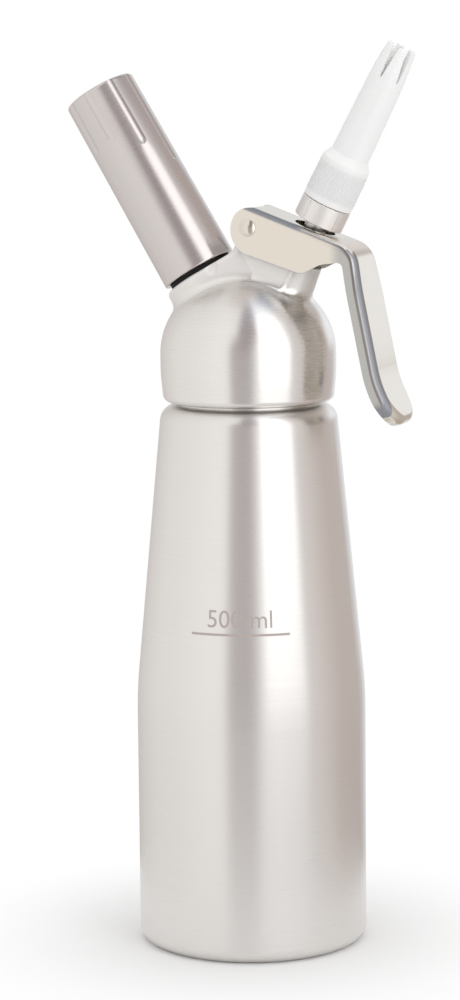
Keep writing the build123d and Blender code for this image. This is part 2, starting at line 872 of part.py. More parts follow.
with BuildPart() as lever:
    add(sheet_form(0))
    add(sheet_form(sheet), mode=Mode.SUBTRACT)

    # The web stops short of the pivot, so that the cheeks end as two ears
    with BuildSketch(lever_section):
        Polygon(
            (web_start, handle_reach),
            (web_start, 0),
            (-handle_reach, 0),
            (-handle_reach, handle_reach),
            align=None,
        )
    extrude(amount=lever_width / 2 - sheet, both=True, mode=Mode.SUBTRACT)

    # Side outline: rounded ears, deep cheeks and the shallow flange of the handle
    flange_corner = offset_corner(handle_end, handle_way, lip_way, flange_depth)
    flange_line = offset_corner(web_end, handle_way, handle_way, flange_depth)
    with BuildSketch(lever_section):
        with BuildLine():
            FilletPolyline(
                (-lever_back, web_rise),
                (lever_back, web_rise),
                (lever_back, handle_reach),
                (2 * handle_reach, handle_reach),
                flange_corner + lip_way * handle_reach,
                flange_corner,
                flange_line + handle_way * flange_start,
                (cheek_waist_reach, -cheek_waist_drop),
                (cheek_toe_reach, -cheek_toe_drop),
                (-lever_back, -cheek_drop),
                radius=[
                    cheek_nose_round,
                    0,
                    0,
                    0,
                    0,
                    lip_round + flange_depth,
                    flange_root_round,
                    cheek_waist_round,
                    cheek_toe_round,
                    cheek_heel_round,
                ],
                close=True,
            )
        make_face()
    extrude(amount=handle_width, both=True, mode=Mode.INTERSECT)
    with BuildSketch(lever_section):
        Circle(pivot_radius + press_clearance)
    extrude(amount=lever_width, both=True, mode=Mode.SUBTRACT)
    with BuildSketch(valve_frame.offset(push_base)):
        Circle(stem_hole_radius)
    extrude(amount=collar_top - push_base, mode=Mode.SUBTRACT)
lever.part.label = "lever"

with BuildPart() as pivot_pin:
    with BuildSketch(pin_section):
        with BuildLine():
            Line((0, -pin_half_length - pivot_crown), (0, pin_half_length + pivot_crown))
            TangentArc((0, pin_half_length + pivot_crown), (pivot_radius, pin_half_length), tangent=(1, 0))
            Line((pivot_radius, pin_half_length), (pivot_radius, -pin_half_length))
            TangentArc((0, -pin_half_length - pivot_crown), (pivot_radius, -pin_half_length), tangent=(1, 0))
        make_face()
    revolve(axis=Axis(pin_section.origin, pin_section.y_dir))
pivot_pin.part.label = "pivot_pin"

with BuildPart(valve_frame.offset(collar_base)) as tip_adapter:
    with BuildSketch(valve_section):
        with BuildLine():
            FilletPolyline(
                (stem_radius + press_clearance, collar_base),
                (collar_radius, collar_base),
                (collar_radius, collar_top),
                (spigot_radius, collar_top),
                (spigot_radius, spigot_top),
                (outlet_radius, spigot_top),
                (outlet_radius, collar_top),
                (stem_radius + press_clearance, collar_top),
                radius=[0, collar_round, collar_round, 0, collar_round, 0, 0, 0],
                close=True,
            )
        make_face()
    revolve(axis=valve_axis)
    with PolarLocations(collar_radius, collar_groove_count, start_angle=collar_groove_start):
        Cylinder(collar_groove_radius, collar_height, align=ON_TOP, mode=Mode.SUBTRACT)
tip_adapter.part.label = "tip_adapter"

with BuildPart() as tip_seal:
    with BuildSketch(valve_frame.offset(spigot_top)):
        Circle(spigot_radius)
        Circle(tip_seal_bore, mode=Mode.SUBTRACT)
    extrude(amount=tip_seal_thickness)
tip_seal.part.label = "tip_seal"

with BuildPart() as decorating_tip:
    with BuildSketch(valve_section):
        with BuildLine():
            FilletPolyline(
                (spigot_radius + thread_clearance, tip_base),
                (tip_base_radius, tip_base),
                (tip_base_top_radius, tip_shoulder),
                (tip_shaft_radius, tip_shoulder + tip_shoulder_length),
                (tip_waist_radius, petal_root),
                (tip_mouth_radius, tip_top),
                (tip_mouth_radius - tip_wall, tip_top),
                (tip_waist_radius - tip_wall, petal_root),
                (tip_shaft_radius - tip_wall, seal_top),
                (spigot_radius + thread_clearance, seal_top),
                radius=[
                    0,
                    tip_edge_round,
                    tip_shoulder_round,
                    tip_foot_round,
                    tip_waist_round,
                    tip_edge_round,
                    tip_edge_round,
                    tip_waist_round,
                    0,
                    0,
                ],
                close=True,
            )
        make_face()
    revolve(axis=valve_axis)
    for slot in range(petal_count // 2):
        with BuildSketch(section_at(valve_frame, petal_start + slot * 360 / petal_count)):
            Polygon(
                (-petal_root_width / 2, petal_root),
                (petal_root_width / 2, petal_root),
                (petal_slot_width / 2, tip_top),
                (-petal_slot_width / 2, tip_top),
                align=None,
            )
        extrude(amount=tip_base_radius, both=True, mode=Mode.SUBTRACT)
decorating_tip.part.label = "decorating_tip"

spring_gap = least_gap(spring_path.line, spring_turns, spring_wire)
check_gap = least_gap(check_path.line, check_turns, check_wire)
print(f"least gap between turns: valve spring {spring_gap:.2f} mm, check spring {check_gap:.2f} mm")

os.makedirs("parts", exist_ok=True)
pieces = [
    bottle,
    head,
    head_gasket,
    inlet_stud,
    stud_washer,
    inlet_gasket,
    piercing_pin,
    check_poppet,
    check_spring,
    check_retainer,
    gas_charger,
    charger_holder,
    lever,
    pivot_pin,
    valve_stem,
    valve_seal,
    stem_orings,
    valve_spring,
    push_washer,
    push_clip,
    tip_adapter,
    tip_seal,
    decorating_tip,
]
for piece in pieces:
    export_step(piece.part, f"parts/{piece.part.label}.step")
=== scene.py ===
import json
from math import cos, pi, radians, sin

import bmesh
import bpy
from bpy.props import FloatProperty, FloatVectorProperty, IntProperty, PointerProperty, StringProperty
from bpy.types import NodeSocket, Operator, Panel, PropertyGroup
from mathutils import Matrix, Vector
from mathutils.bvhtree import BVHTree


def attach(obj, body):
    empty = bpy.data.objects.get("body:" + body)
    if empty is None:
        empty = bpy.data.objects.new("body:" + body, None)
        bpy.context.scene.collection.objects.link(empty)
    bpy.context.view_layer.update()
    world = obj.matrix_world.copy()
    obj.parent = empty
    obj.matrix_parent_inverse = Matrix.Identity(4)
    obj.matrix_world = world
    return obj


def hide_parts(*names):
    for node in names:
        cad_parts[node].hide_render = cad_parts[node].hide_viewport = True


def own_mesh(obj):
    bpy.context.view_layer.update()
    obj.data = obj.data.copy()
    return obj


bl_info = {
    "name": "Cream Whipper Looks",
    "version": (1, 0, 0),
    "blender": (4, 5, 0),
    "location": "3D View > Sidebar > Whipper",
    "description": "Finishes, threads, springs, ribs, fill mark and studio of a cream whipper",
    "category": "Object",
}

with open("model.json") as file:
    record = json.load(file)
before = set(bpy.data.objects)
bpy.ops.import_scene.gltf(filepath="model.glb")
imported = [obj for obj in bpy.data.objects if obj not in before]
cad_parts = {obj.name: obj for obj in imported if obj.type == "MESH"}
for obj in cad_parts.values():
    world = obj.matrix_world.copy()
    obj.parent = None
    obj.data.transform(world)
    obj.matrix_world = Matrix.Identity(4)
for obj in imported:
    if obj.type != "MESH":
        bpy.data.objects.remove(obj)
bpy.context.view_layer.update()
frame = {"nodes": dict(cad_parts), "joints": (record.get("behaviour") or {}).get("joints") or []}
joints = {joint["name"]: joint for joint in frame["joints"]}


# Sizes that are read from the frame

def axis_place(joint_name):
    """The matrix that sets a piece built round +Z onto the axis of a turning joint."""
    joint = joints[joint_name]
    turn = Vector((0, 0, 1)).rotation_difference(Vector(joint["axis"]))
    return Matrix.Translation(joint["pos_m"]) @ turn.to_matrix().to_4x4()


def points_on(node, place):
    """A CAD node's points as seen from an axis."""
    inverse = place.inverted()
    return [inverse @ vertex.co for vertex in frame["nodes"][node].data.vertices]


def levels(points):
    """The lowest and highest level of points along their axis."""
    heights = [point.z for point in points]
    return min(heights), max(heights)


def reach(points, low, high):
    """The largest distance from the axis among the points between two levels."""
    return max(point.xy.length for point in points if low <= point.z <= high)


def pitch_of(slide, turn):
    """How far a screw joint moves in one turn."""
    return joints[slide]["range_m"][1] / joints[turn]["range_deg"][1] * 360


upright = axis_place("head_turn")
upright.translation = (0, 0, 0)
charger_line = axis_place("holder_turn")
valve_line = axis_place("tip_turn")


# Properties of one kind, with their unit or subtype

def length_property(name, description, default):
    """A length in metres."""
    return FloatProperty(name=name, description=description, default=default, unit="LENGTH")


def angle_property(name, description, degrees):
    """An angle, whose default is given in degrees."""
    return FloatProperty(name=name, description=description, default=radians(degrees), unit="ROTATION")


def factor_property(name, description, default):
    """A plain factor."""
    return FloatProperty(name=name, description=description, default=default, subtype="FACTOR")


def power_property(name, description, default):
    """A lamp's power in watts."""
    return FloatProperty(name=name, description=description, default=default, unit="POWER")


def colour_property(name, description, default):
    """A colour."""
    return FloatVectorProperty(name=name, description=description, default=default, subtype="COLOR")


class ScrewSizes(PropertyGroup):
    """Sizes of the three screw threads and of the grip on the tip"""

    neck_pitch: length_property(
        "Neck pitch", "Rise of the bottle's neck thread in one turn", pitch_of("head_lift", "head_turn")
    )
    neck_ridge: length_property("Neck ridge", "Height of the neck thread's ridge", 0.0009)
    stud_pitch: length_property(
        "Stud pitch",
        "Rise of the charger stud's thread in one turn",
        pitch_of("charger_feed", "holder_turn"),
    )
    stud_ridge: length_property("Stud ridge", "Height of the stud thread's ridge", 0.0006)
    spigot_pitch: length_property(
        "Spigot pitch", "Rise of the tip adapter's thread in one turn", pitch_of("tip_lift", "tip_turn")
    )
    spigot_ridge: length_property("Spigot ridge", "Height of the spigot thread's ridge", 0.0005)
    rib_count: IntProperty(
        name="Grip ribs",
        description="Number of fine ribs round the foot of the tip",
        default=60,
        min=12,
    )
    rib_width: length_property("Rib width", "Thickness of each rib", 0.00042)


class MarkSizes(PropertyGroup):
    """The fill mark on the front of the bottle"""

    height: length_property("Line height", "Height of the fill line over the base", 0.1145)
    bearing: angle_property("Bearing", "Angle of the mark's middle from the front, towards the lever", 13.8)
    line_length: length_property("Line length", "Length of the fill line round the bottle", 0.0352)
    line_width: length_property("Line width", "Thickness of the fill line", 0.0008)
    figure: StringProperty(name="Figure", description="The plain figure over the line", default="500 ml")
    figure_size: length_property("Figure size", "Height of the figure's letters' body", 0.0086)
    figure_gap: length_property("Figure gap", "Clear height between the line and the figure", 0.0024)
    depth: length_property("Depth", "How far the mark's skin reaches under and over the metal", 0.00003)


class FinishColours(PropertyGroup):
    """Colours of the finishes"""

    bottle: colour_property("Bottle", "Satin aluminium of the bottle", (0.800, 0.778, 0.755))
    head: colour_property("Head", "Satin aluminium of the head", (0.800, 0.778, 0.755))
    holder: colour_property("Holder", "Smoother aluminium of the charger holder", (0.648, 0.607, 0.594))
    nickel: colour_property("Nickel", "Bright plate of the lever and its pin", (0.750, 0.700, 0.625))
    # Painted shade: the lever's bends take this dark blue-grey as a painted dark reflection
    bend: colour_property("Bend", "Plate of the lever along its drawn bends", (0.330, 0.345, 0.370))
    # Painted shade: a darker plate on the handle's flanges
    flange_painted_shade: colour_property("Flange", "Plate on the flanges of the lever's handle", (0.475, 0.470, 0.452))
    inner: colour_property(
        "Inner side", "Unpolished plate on the inner side of the lever's handle", (0.930, 0.890, 0.840)
    )
    adapter: colour_property(
        "Adapter", "Plate of the tip adapter and the brass pieces", (0.850, 0.825, 0.800)
    )
    steel: colour_property("Steel", "Springs, stem, charger and piercing pin", (0.620, 0.615, 0.610))
    oxide: colour_property("Black oxide", "Washer and clip under the lever", (0.030, 0.030, 0.032))
    plastic: colour_property("Plastic", "White plastic of the tip", (0.880, 0.880, 0.875))
    rubber: colour_property("Rubber", "Seals and gaskets", (0.016, 0.015, 0.015))
    mark: colour_property("Mark", "Etched skin of the fill mark", (0.470, 0.405, 0.380))


class StudioSizes(PropertyGroup):
    """Camera, lamps and panels of the studio"""

    camera_bearing: angle_property(
        "Camera bearing", "Angle of the camera from the front, towards the lever", 20
    )
    camera_dip: angle_property("Camera dip", "How far the camera looks down", 8.05)
    camera_roll: angle_property("Camera roll", "Turn of the camera about its own line of sight", -0.59)
    camera_place: FloatVectorProperty(
        name="Camera place",
        description="Where the camera stands",
        default=(0.3532, -0.9904, 0.3042),
        subtype="TRANSLATION",
    )
    lens: FloatProperty(
        name="Lens",
        description="Focal length in millimetres on a 36 mm sensor",
        default=109.8,
        unit="CAMERA",
    )
    tent_radius: length_property("Tent radius", "Distance of the studio's panels from their middle", 0.36)
    tent_height: length_property("Tent height", "Height of the panels' middle over the table", 0.2)
    strip_bearing: angle_property(
        "Strip bearing", "Angle of the tall light's middle from the front, towards the lever", 53.5
    )
    strip_half: angle_property("Strip half width", "Half the angle that the tall light fills", 17.5)
    strip_glow: factor_property("Strip glow", "How much brighter than the panels the tall light is", 0.85)
    flag: colour_property("Flag", "Colour of the dark flag beside the camera", (0.36, 0.31, 0.32))
    ceiling: colour_property("Ceiling", "Colour of the panels overhead", (0.72, 0.67, 0.65))
    dusk: colour_property("Dusk", "Colour of the panels overhead on the lever's side", (0.34, 0.39, 0.47))
    rear: colour_property(
        "Rear", "Colour of the low panel that the handle's back mirrors", (1.03, 1.06, 1.10)
    )
    floor_radius: length_property("Floor radius", "Radius of the round table top", 0.12)
    ambient: factor_property("Ambient", "Strength of the light from all round on matt surfaces", 0.86)
    key_watts: power_property("Key", "Power of the tall soft box at the front right", 3.0)
    top_watts: power_property("Top", "Power of the soft box overhead", 6.0)


# Node helpers

def fill(tree, slot, value):
    """Puts a number, a vector, a colour or another node's socket on an input."""
    if isinstance(value, NodeSocket):
        tree.links.new(value, slot)
    else:
        slot.default_value = value


def give(tree, node, **values):
    """Fills a node's inputs by name, with underscores for spaces."""
    for name, value in values.items():
        fill(tree, node.inputs[name.replace("_", " ")], value)


def new_node(tree, kind, settings=None, **values):
    """A new node, with its settings and with values on its inputs."""
    node = tree.nodes.new(kind)
    for name, value in (settings or {}).items():
        setattr(node, name, value)
    give(tree, node, **values)
    return node


def maths(tree, operation, *terms):
    """A Math node on numbers or sockets, and its result."""
    node = new_node(tree, "ShaderNodeMath", {"operation": operation})
    for slot, term in zip(node.inputs, terms):
        fill(tree, slot, term)
    return node.outputs[0]


def ramp(tree, value, start, end, low=0.0, high=1.0, shape="LINEAR"):
    """A value carried from one range to another and held at its ends."""
    node = new_node(
        tree,
        "ShaderNodeMapRange",
        {"interpolation_type": shape},
        Value=value,
        From_Min=start,
        From_Max=end,
        To_Min=low,
        To_Max=high,
    )
    return node.outputs["Result"]


def eased(tree, value, start, end, low=0.0, high=1.0):
    """A value carried smoothly from one range to another and held at its ends."""
    return ramp(tree, value, start, end, low, high, "SMOOTHSTEP")


def window(tree, value, middle, half, soft):
    """One where a value lies near a middle, easing to nought over its soft edges."""
    away = maths(tree, "ABSOLUTE", maths(tree, "SUBTRACT", value, middle))
    return eased(tree, away, half, half + soft, 1.0, 0.0)


def coloured(colour):
    """A colour property as the four numbers that a socket takes."""
    return (*colour, 1.0)


def mixed(tree, factor, first, second):
    """A colour socket, or four numbers, carried towards a colour by a factor."""
    mix = new_node(tree, "ShaderNodeMix", {"data_type": "RGBA"}, Factor=factor, A=first, B=coloured(second))
    return mix.outputs["Result"]


def object_place(tree):
    """Where a point lies on its object."""
    return tree.nodes.new("ShaderNodeTexCoord").outputs["Object"]


def new_material(name, **values):
    """A node material, its tree and its Principled shader with values on some inputs."""
    material = bpy.data.materials.new(name)
    material.use_nodes = True
    tree = material.node_tree
    shader = tree.nodes["Principled BSDF"]
    give(tree, shader, **values)
    return material, tree, shader


# Finishes

def streaks(tree, place, along, across):
    """Fine noise stretched square to an axis: lines per metre along it and across it."""
    turned = new_node(
        tree,
        "ShaderNodeMapping",
        {"vector_type": "TEXTURE"},
        Vector=object_place(tree),
        Location=place.translation,
        Rotation=place.to_euler(),
    )
    drawn_out = new_node(
        tree,
        "ShaderNodeMapping",
        Vector=turned.outputs["Vector"],
        Scale=(across, across, along),
    )
    noise = new_node(tree, "ShaderNodeTexNoise", Vector=drawn_out.outputs["Vector"], Scale=1.0, Detail=3.0)
    return noise.outputs["Fac"]


def grain(tree, lines):
    """Fine noise with the same number of lines per metre each way."""
    return streaks(tree, Matrix.Identity(4), lines, lines)


def spread(tree, noise, low, high):
    """A noise stretched onto a range."""
    return ramp(tree, noise, 0.3, 0.7, low, high)


def grained(tree, shader, noise, colour, darker, rough, fine):
    """Gives a shader its colour and roughness, a little darker and rougher where a noise is low."""
    shade = coloured([part * darker for part in colour])
    give(
        tree,
        shader,
        Base_Color=mixed(tree, spread(tree, noise, 0.0, 1.0), shade, colour),
        Roughness=spread(tree, noise, rough, fine),
    )


def bumped(tree, shader, height, distance, strength=1.0):
    """Raises the shader's normal by a height."""
    bump = new_node(tree, "ShaderNodeBump", Strength=strength, Distance=distance, Height=height)
    give(tree, shader, Normal=bump.outputs["Normal"])


def brushed_aluminium(name, colour, place, roughness, anisotropy=0.0):
    """Satin aluminium, brushed round an axis."""
    material, tree, shader = new_material(name, Metallic=1.0, Anisotropic=anisotropy)
    lines = streaks(tree, place, along=7000, across=22)
    grained(tree, shader, lines, colour, darker=0.98, rough=roughness + 0.03, fine=roughness - 0.03)
    bumped(tree, shader, lines, distance=0.0000012)
    if anisotropy:
        tangent = new_node(tree, "ShaderNodeTangent", {"direction_type": "RADIAL", "axis": "Z"})
        give(tree, shader, Anisotropic_Rotation=0.25, Tangent=tangent.outputs["Tangent"])
    return material


def blasted(material, middle, radii, rougher, duller):
    """Makes a satin metal matt where it stands out of a dome, as on bosses that no brush gets to."""
    tree = material.node_tree
    shader = tree.nodes["Principled BSDF"]
    smooth = shader.inputs["Roughness"].links[0].from_socket
    scaled = new_node(
        tree,
        "ShaderNodeMapping",
        {"vector_type": "TEXTURE"},
        Vector=object_place(tree),
        Location=middle,
        Scale=radii,
    )
    parts = new_node(tree, "ShaderNodeSeparateXYZ", Vector=scaled.outputs["Vector"])
    above = new_node(
        tree,
        "ShaderNodeCombineXYZ",
        X=parts.outputs["X"],
        Y=parts.outputs["Y"],
        Z=maths(tree, "MAXIMUM", parts.outputs["Z"], 0.0),
    )
    away = new_node(tree, "ShaderNodeVectorMath", {"operation": "LENGTH"}, Vector=above.outputs["Vector"])
    edge = eased(tree, away.outputs["Value"], 1.02, 1.12)
    rough = maths(tree, "ADD", smooth, maths(tree, "MULTIPLY", edge, rougher))
    metallic = maths(tree, "SUBTRACT", 1.0, maths(tree, "MULTIPLY", edge, duller))
    give(tree, shader, Roughness=rough, Metallic=metallic)


def bright_plate(name, colour, roughness):
    """Bright nickel on pressed or turned metal, with a faint ripple."""
    material, tree, shader = new_material(name, Metallic=1.0)
    ripple = grain(tree, 140)
    noise = grain(tree, 2600)
    grained(tree, shader, noise, colour, darker=0.97, rough=roughness + 0.03, fine=roughness - 0.03)
    bumped(tree, shader, ripple, distance=0.00006, strength=0.35)
    return material


# Where the lever's plate changes at rest, with painted shade along its bends and on its flanges, in metres:
# each range eases from its first to its second number

CHEEK_OUT = 0.01125                    # from the lever's middle plane to the outside of a cheek
FLANGE_OUT = 0.00185                   # how much further out the handle's flanges reach
HANDLE_X = (0.0325, 0.0375)            # where the cheeks pass into the handle
FLANGE_Z = (0.228, 0.242)              # where the flanges draw in towards the handle's root
STRAIGHT_Z = (0.1950, 0.2010)          # where the handle's end stops curling
HANDLE_NORMAL = (0.9799, 0.0, 0.1994)  # square to the straight handle, outwards
BEND_DEPTH = (0.0865, 0.0872)          # along that line, where the outer side of the bend starts
PLATE_DEPTH = (0.0883, 0.0890)         # along that line, the middle of the plate
FLANGE_EDGE = (0.0004, 0.0009)         # in from the side, where a flange's painted shade ends
HOLLOW_EDGE = (0.0006, 0.0012)         # in from the side, where the inner side starts
BEND_SHADE_BAND = (0.0013, 0.0008, 0.0004)   # in from the side: middle, half width and soft edge of the painted shade along the bend
ELBOW_BAND = (0.0300, 0.0050, 0.0040)  # the same along X for the elbow, where the bend's painted shade opens out
ELBOW_LOSS = 0.75                      # the share of its painted shade that the bend loses at the elbow
UNPOLISHED = 0.4                       # roughness that the bend and the inner side add, as a plain number


def shade_painted(material, bend, flange_painted_shade, inner):
    """Paints shade on a lever's bright plate: a dark, rougher band along its bends, a darker plate on its
    handle's flanges, and a lighter, rougher inner side.
    """
    tree = material.node_tree
    shader = tree.nodes["Principled BSDF"]
    bright = shader.inputs["Base Color"].links[0].from_socket
    smooth = shader.inputs["Roughness"].links[0].from_socket
    where = object_place(tree)
    parts = new_node(tree, "ShaderNodeSeparateXYZ", Vector=where)
    x, y, z = (parts.outputs[name] for name in "XYZ")
    normal = new_node(tree, "ShaderNodeVectorMath", {"operation": "DOT_PRODUCT"}, Vector=where)
    normal.inputs[1].default_value = HANDLE_NORMAL
    depth = normal.outputs["Value"]

    handle = eased(tree, x, *HANDLE_X)
    straight = maths(tree, "MULTIPLY", handle, eased(tree, z, *STRAIGHT_Z))
    flare = maths(tree, "MULTIPLY", handle, eased(tree, z, *FLANGE_Z, FLANGE_OUT, 0.0))
    side = maths(tree, "ADD", flare, CHEEK_OUT)
    inside = maths(tree, "SUBTRACT", side, maths(tree, "ABSOLUTE", y))

    # Painted shade: the handle's flanges take a darker plate colour
    flat = maths(tree, "MULTIPLY", handle, eased(tree, inside, *FLANGE_EDGE, 1.0, 0.0))
    plate = mixed(tree, flat, bright, flange_painted_shade)

    # Painted shade: a dark blue-grey band along the round bends, as a painted dark reflection, lifted at
    # the elbow
    open_elbow = maths(tree, "MULTIPLY_ADD", window(tree, x, *ELBOW_BAND), -ELBOW_LOSS, 1.0)
    below = maths(tree, "MULTIPLY", straight, eased(tree, depth, *BEND_DEPTH, 1.0, 0.0))
    outer = maths(tree, "MULTIPLY", open_elbow, maths(tree, "SUBTRACT", 1.0, below))
    painted_bend_shade = maths(tree, "MULTIPLY", outer, window(tree, inside, *BEND_SHADE_BAND))
    plate = mixed(tree, painted_bend_shade, plate, bend)

    under = maths(tree, "MULTIPLY", straight, eased(tree, depth, *PLATE_DEPTH, 1.0, 0.0))
    hollow = maths(tree, "MULTIPLY", under, eased(tree, inside, *HOLLOW_EDGE))
    plate = mixed(tree, hollow, plate, inner)
    dull = maths(tree, "MAXIMUM", painted_bend_shade, hollow)
    rough = maths(tree, "MULTIPLY_ADD", dull, UNPOLISHED, smooth)
    give(tree, shader, Base_Color=plate, Roughness=rough)


def turned_steel(name, colour, place, roughness):
    """Steel with turning marks round an axis."""
    material, tree, shader = new_material(name, Metallic=1.0)
    lines = streaks(tree, place, along=4200, across=60)
    grained(tree, shader, lines, colour, darker=0.9, rough=roughness + 0.06, fine=roughness - 0.06)
    bumped(tree, shader, lines, distance=0.00001)
    return material


def moulded_plastic(name, colour):
    """White moulded plastic that lets a little light in."""
    material, tree, shader = new_material(
        name, Subsurface_Weight=0.35, Subsurface_Scale=0.002, Subsurface_Radius=(1.0, 0.95, 0.9)
    )
    noise = grain(tree, 1800)
    grained(tree, shader, noise, colour, darker=0.985, rough=0.46, fine=0.36)
    bumped(tree, shader, noise, distance=0.00002, strength=0.4)
    return material


def seal_rubber(name, colour):
    """Dull black rubber."""
    material, tree, shader = new_material(name, Specular_IOR_Level=0.15)
    noise = grain(tree, 2200)
    grained(tree, shader, noise, colour, darker=0.8, rough=0.68, fine=0.55)
    bumped(tree, shader, noise, distance=0.00003, strength=0.5)
    return material


def etched_skin(name, colour):
    """The matt skin that a laser leaves on aluminium."""
    material, tree, shader = new_material(name, Metallic=0.15)
    grained(tree, shader, grain(tree, 6000), colour, darker=0.9, rough=0.75, fine=0.6)
    return material


def finish(material, *nodes):
    """Gives CAD nodes one material."""
    for name in nodes:
        mesh = frame["nodes"][name].data
        mesh.materials.clear()
        mesh.materials.append(material)


# Geometry node trees

class Tree:
    """A geometry node tree in the making, with named inputs."""

    def __init__(self, name, **inputs):
        self.tree = bpy.data.node_groups.new(name, "GeometryNodeTree")
        self.tree.is_modifier = True
        kinds = {int: "NodeSocketInt", float: "NodeSocketFloat"}
        for title, value in inputs.items():
            socket = self.tree.interface.new_socket(title, in_out="INPUT", socket_type=kinds[type(value)])
            socket.default_value = value
        self.tree.interface.new_socket("Material", in_out="INPUT", socket_type="NodeSocketMaterial")
        self.tree.interface.new_socket("Geometry", in_out="OUTPUT", socket_type="NodeSocketGeometry")
        self.inputs = self.tree.nodes.new("NodeGroupInput")

    def given(self, title):
        """The socket of a named input."""
        return self.inputs.outputs[title]

    def add(self, kind, settings=None, **values):
        """A new node, with its settings and with values on its inputs."""
        return new_node(self.tree, kind, settings, **values)

    def maths(self, operation, *terms):
        """The result of a Math node."""
        return maths(self.tree, operation, *terms)

    def ramp(self, *terms):
        """A value carried from one range to another and held at its ends."""
        return ramp(self.tree, *terms)

    def along(self):
        """How far along its curve a point lies, from nought to one."""
        return self.add("GeometryNodeSplineParameter").outputs["Factor"]

    def helix(self, steps, height):
        """A helix of the tree's own radius and turns."""
        spiral = self.add(
            "GeometryNodeCurveSpiral",
            Resolution=steps,
            Rotations=self.given("Turns"),
            Start_Radius=self.given("Radius"),
            End_Radius=self.given("Radius"),
            Height=height,
        )
        return spiral.outputs["Curve"]

    def disc(self, steps, width):
        """A round section."""
        radius = self.maths("MULTIPLY", width, 0.5)
        circle = self.add("GeometryNodeCurvePrimitiveCircle", Resolution=steps, Radius=radius)
        return circle.outputs["Curve"]

    def swept(self, curve, section, **values):
        """The closed mesh that a section sweeps along a curve."""
        mesh = self.add(
            "GeometryNodeCurveToMesh", Curve=curve, Profile_Curve=section, Fill_Caps=True, **values
        )
        return mesh.outputs["Mesh"]

    def end(self, geometry):
        """Realizes the result and gives it its material."""
        smooth = self.add("GeometryNodeSetShadeSmooth", Geometry=geometry)
        real = self.add("GeometryNodeRealizeInstances", Geometry=smooth.outputs["Geometry"])
        painted = self.add(
            "GeometryNodeSetMaterial", Geometry=real.outputs["Geometry"], Material=self.given("Material")
        )
        self.add("NodeGroupOutput", Geometry=painted.outputs["Geometry"])
        return self.tree


def ridge_tree():
    """A helical ridge whose ends run out into the shank that it is cut on."""
    made = Tree(
        "Helical ridge", Radius=0.01, Pitch=0.0025, Turns=3.0, Ridge=0.0006, Sink=0.0003, Runout=0.25
    )
    pitch, turns, ridge = (made.given(title) for title in ("Pitch", "Turns", "Ridge"))
    helix = made.helix(steps=72, height=made.maths("MULTIPLY", pitch, turns))
    upright_normals = made.add("GeometryNodeSetCurveNormal", {"mode": "Z_UP"}, Curve=helix)

    # The section: half its width at the root and at the crest, as shares of the pitch
    root = made.maths("MULTIPLY", pitch, 0.24)
    crest = made.maths("MULTIPLY", pitch, 0.1)
    sunk = made.maths("MULTIPLY", made.given("Sink"), -1.0)
    corners = {}
    sides = ((root, -1, sunk), (root, 1, sunk), (crest, 1, ridge), (crest, -1, ridge))
    for number, (across, sign, out) in enumerate(sides, 1):
        corner = made.add("ShaderNodeCombineXYZ", X=out, Y=made.maths("MULTIPLY", across, sign))
        corners[f"Point_{number}"] = corner.outputs["Vector"]
    section = made.add("GeometryNodeCurvePrimitiveQuadrilateral", {"mode": "POINTS"}, **corners)
    rounded = made.add(
        "GeometryNodeFilletCurve",
        {"mode": "POLY"},
        Curve=section.outputs["Curve"],
        Count=3,
        Radius=made.maths("MULTIPLY", ridge, 0.3),
    )

    # The ends shrink almost to nothing over the runout
    thin = 0.02
    along = made.along()
    share = made.maths("DIVIDE", made.given("Runout"), turns)
    grow = made.ramp(along, 0.0, share, thin, 1.0)
    fade = made.ramp(along, made.maths("SUBTRACT", 1.0, share), 1.0, 1.0, thin)
    wound = made.swept(
        upright_normals.outputs["Curve"],
        rounded.outputs["Curve"],
        Scale=made.maths("MINIMUM", grow, fade),
    )
    return made.end(wound)


def spring_tree():
    """A round-wire compression spring whose end turns lie closed."""
    made = Tree("Compression spring", Radius=0.005, Wire=0.0012, Turns=6.5, Height=0.015)
    wire, turns, height = (made.given(title) for title in ("Wire", "Turns", "Height"))
    helix = made.helix(steps=48, height=height)
    turn = made.maths("MULTIPLY", made.along(), turns)
    last = made.maths("SUBTRACT", turns, 1.0)
    closed = made.maths("MULTIPLY", wire, 2.0)
    open_rise = made.maths("SUBTRACT", made.maths("SUBTRACT", height, wire), closed)
    first_rise = made.ramp(turn, 0.0, 1.0, 0.0, wire)
    middle_rise = made.ramp(turn, 1.0, last, 0.0, open_rise)
    last_rise = made.ramp(turn, last, turns, 0.0, wire)
    level = made.maths("ADD", made.maths("ADD", first_rise, middle_rise), last_rise)
    lifted = made.maths("ADD", level, made.maths("MULTIPLY", wire, 0.5))
    here = made.add("GeometryNodeInputPosition")
    flat = made.add("ShaderNodeSeparateXYZ", Vector=here.outputs["Position"])
    place = made.add("ShaderNodeCombineXYZ", X=flat.outputs["X"], Y=flat.outputs["Y"], Z=lifted)
    bent = made.add("GeometryNodeSetPosition", Geometry=helix, Position=place.outputs["Vector"])
    return made.end(made.swept(bent.outputs["Geometry"], made.disc(steps=14, width=wire)))


